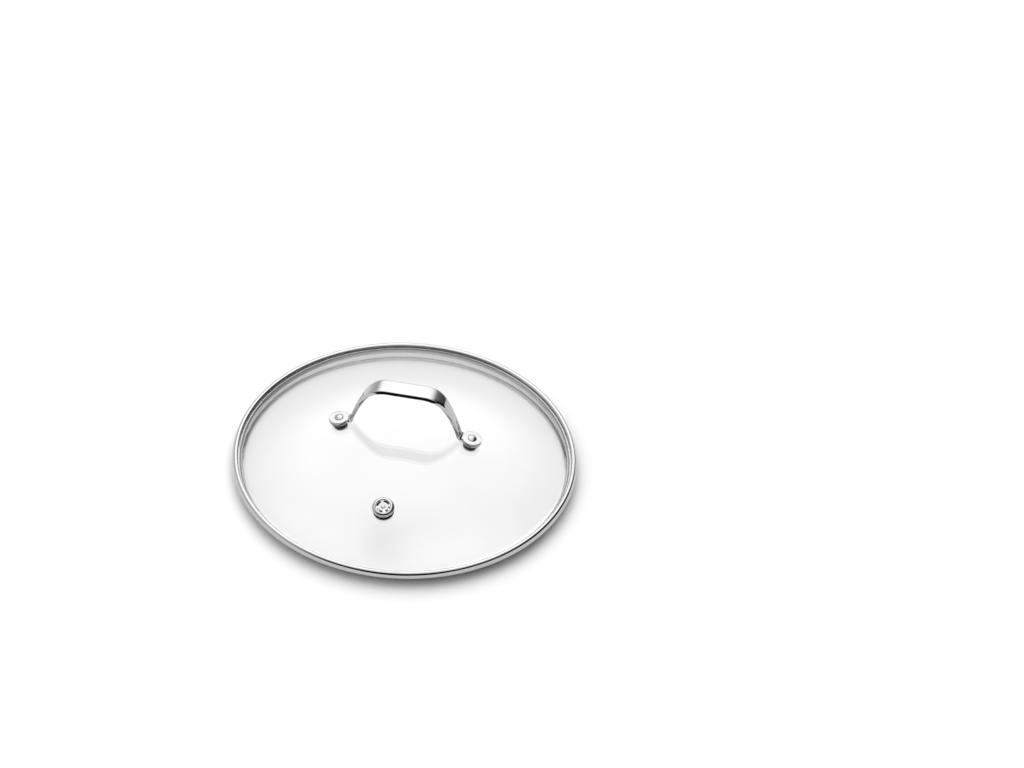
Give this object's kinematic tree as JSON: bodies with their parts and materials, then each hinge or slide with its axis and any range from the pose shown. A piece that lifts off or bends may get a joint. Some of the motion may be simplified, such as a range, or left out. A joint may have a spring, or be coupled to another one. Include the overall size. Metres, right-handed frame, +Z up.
{
  "type": "glass saucepan lid",
  "caption": "Domed tempered-glass saucepan lid in a rolled steel rim with a plug skirt, a riveted arched strap handle and a slotted steam vent.",
  "frame": {"origin": "centre of the circle that the rolled hem of the rim skirt stands on", "axes": "+Z up through the middle of the dome, X along the handle, the steam vent on the -Y side"},
  "size_m": [0.21, 0.21, 0.0664],
  "materials": {
    "glass": "clear polished tempered glass",
    "polished_steel": "mirror-polished stainless steel",
    "plain_steel": "bright rolled stainless steel",
    "black_silicone": "matt black silicone"
  },
  "bodies": {
    "root": {"glass_dome": "glass", "rim_band": "polished_steel", "handle_strap": "polished_steel", "foot_gasket_left": "black_silicone", "foot_gasket_right": "black_silicone", "under_gasket_left": "black_silicone", "under_gasket_right": "black_silicone", "under_washer_left": "plain_steel", "under_washer_right": "plain_steel", "rivet_left": "polished_steel", "rivet_right": "polished_steel", "vent_cap": "polished_steel", "vent_grommet": "black_silicone", "vent_washer": "plain_steel", "vent_rivet": "polished_steel"}
  },
  "joints": []
}
